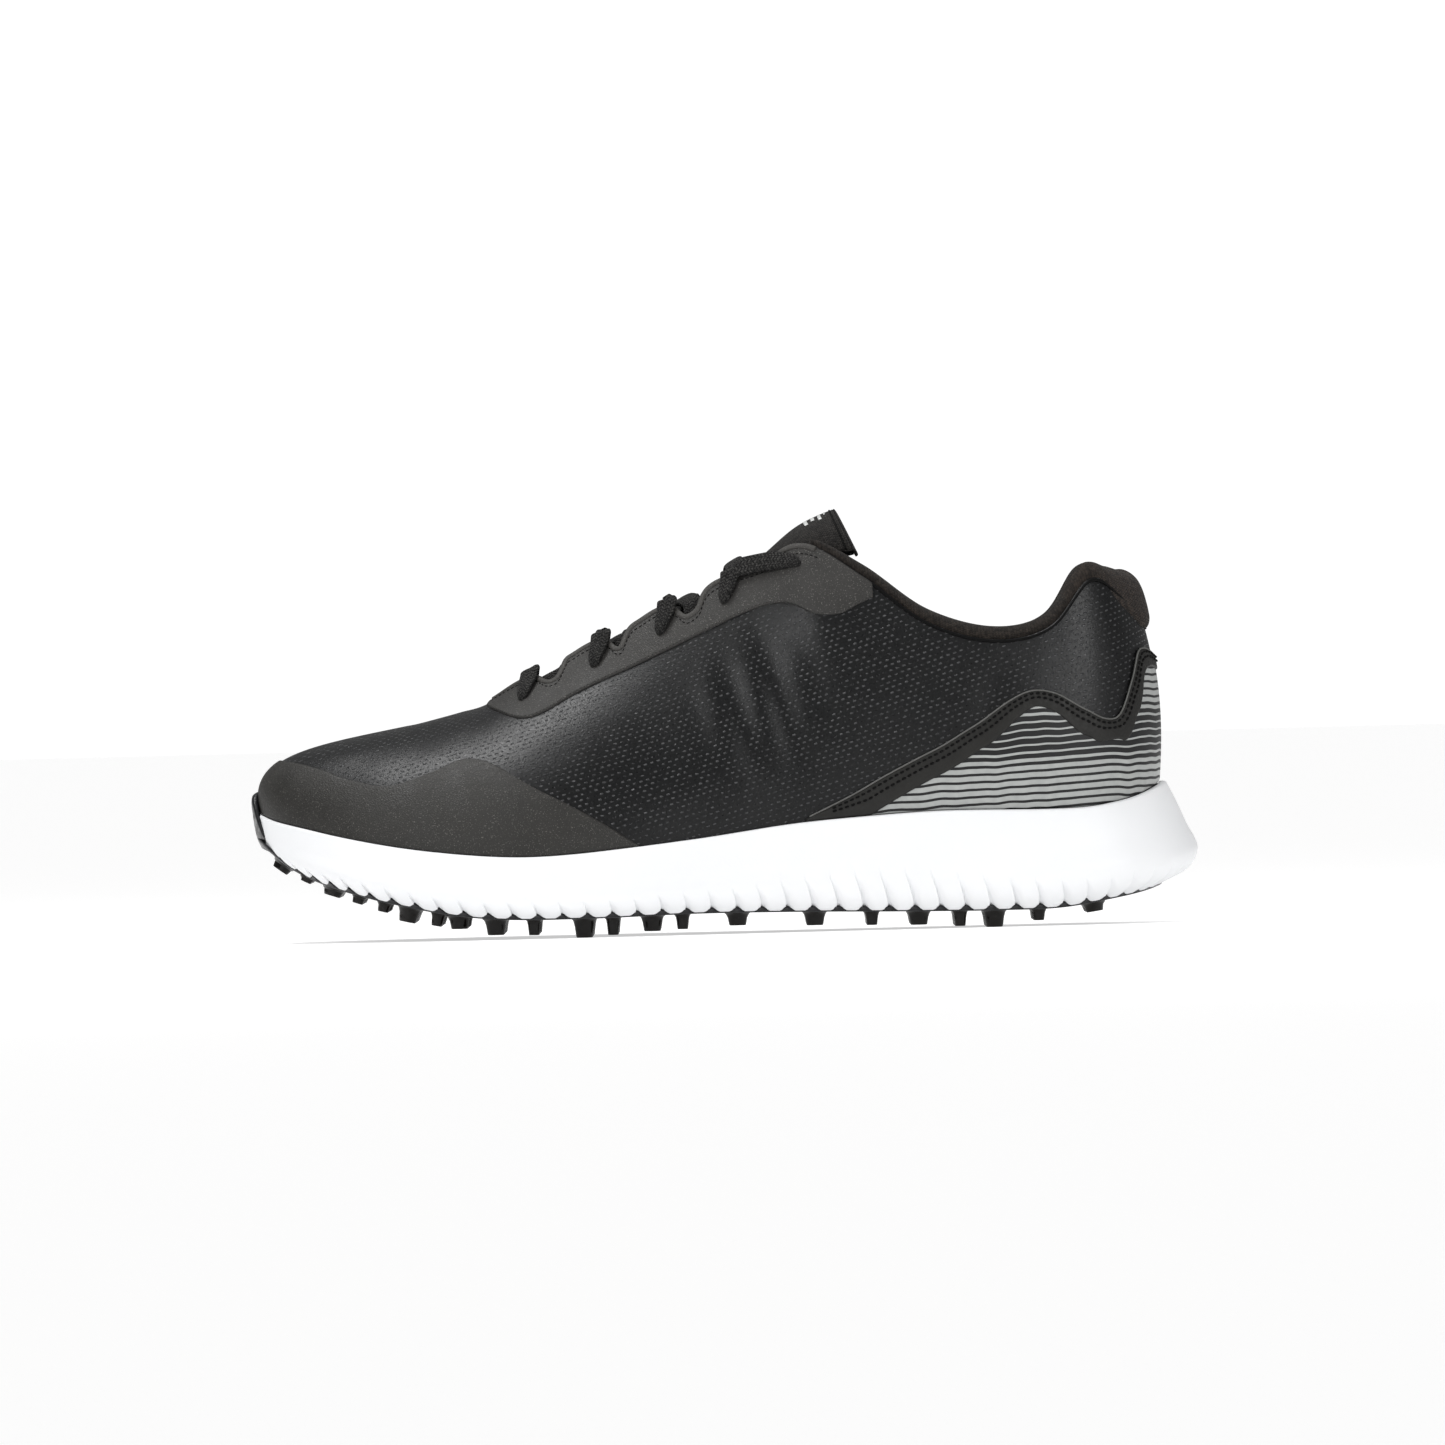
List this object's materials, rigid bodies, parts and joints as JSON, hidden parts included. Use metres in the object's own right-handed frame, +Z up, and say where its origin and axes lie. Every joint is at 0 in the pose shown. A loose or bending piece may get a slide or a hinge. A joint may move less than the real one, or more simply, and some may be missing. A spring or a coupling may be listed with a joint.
{
  "type": "golf shoe",
  "caption": "Spikeless golf shoe with a textured upper, padded collar and tongue, flat laces, a cupped foam midsole and a rubber outsole with tapered traction lugs.",
  "frame": {"origin": "bottom centre of the bounding box, on the surface that the lugs stand on", "axes": "+X from toe to heel, +Z up, the outer side of the foot faces -Y"},
  "size_m": [0.301, 0.111, 0.134],
  "materials": {
    "outsole_rubber": "satin",
    "lug_rubber": "gloss",
    "white_foam": "matte",
    "board_fabric": "matte",
    "footbed_foam": "matte",
    "footbed_cloth": "matte",
    "textured_upper": "semi-gloss",
    "toe_overlay": "matte",
    "eyestay": "matte",
    "striped_panel": "matte",
    "band": "satin",
    "stiffener": "matte",
    "lining": "matte",
    "padding": "matte",
    "collar_knit": "matte",
    "tongue_cloth": "matte",
    "patch": "matte",
    "lace": "matte",
    "aglet": "gloss"
  },
  "bodies": {
    "shoe": {"outsole_plate": "outsole_rubber", "toe_bumper": "outsole_rubber", "forefoot_lugs": "lug_rubber", "arch_lugs": "lug_rubber", "heel_lugs": "lug_rubber", "small_lugs": "lug_rubber", "midsole": "white_foam", "strobel_board": "board_fabric", "main_panel": "textured_upper", "toe_overlay": "toe_overlay", "eyestay_outer": "eyestay", "eyestay_inner": "eyestay", "heel_overlay": "striped_panel", "heel_band": "band", "heel_counter": "stiffener", "toe_puff": "stiffener", "vamp_lining": "lining", "collar_foam": "padding", "collar_lining": "collar_knit", "heel_tab": "collar_knit", "shoelace": "lace", "aglets": "aglet"},
    "tongue": {"tongue_shell": "tongue_cloth", "tongue_foam": "padding", "tongue_lining": "lining", "tongue_binding": "tongue_cloth", "tongue_patch": "patch"},
    "footbed": {"sockliner": "footbed_foam", "sockliner_cover": "footbed_cloth"}
  },
  "joints": [
    {"name": "tongue_swing", "type": "hinge", "parent": "shoe", "child": "tongue", "pos_m": [-0.08, 0, 0.064], "axis": [0, 1, 0], "range_deg": [0, 5], "stiffness_Nm_per_rad": 1.5},
    {"name": "footbed_lift", "type": "hinge", "parent": "shoe", "child": "footbed", "pos_m": [-0.138, 0, 0.036], "axis": [0, -1, 0], "range_deg": [0, 7]}
  ]
}
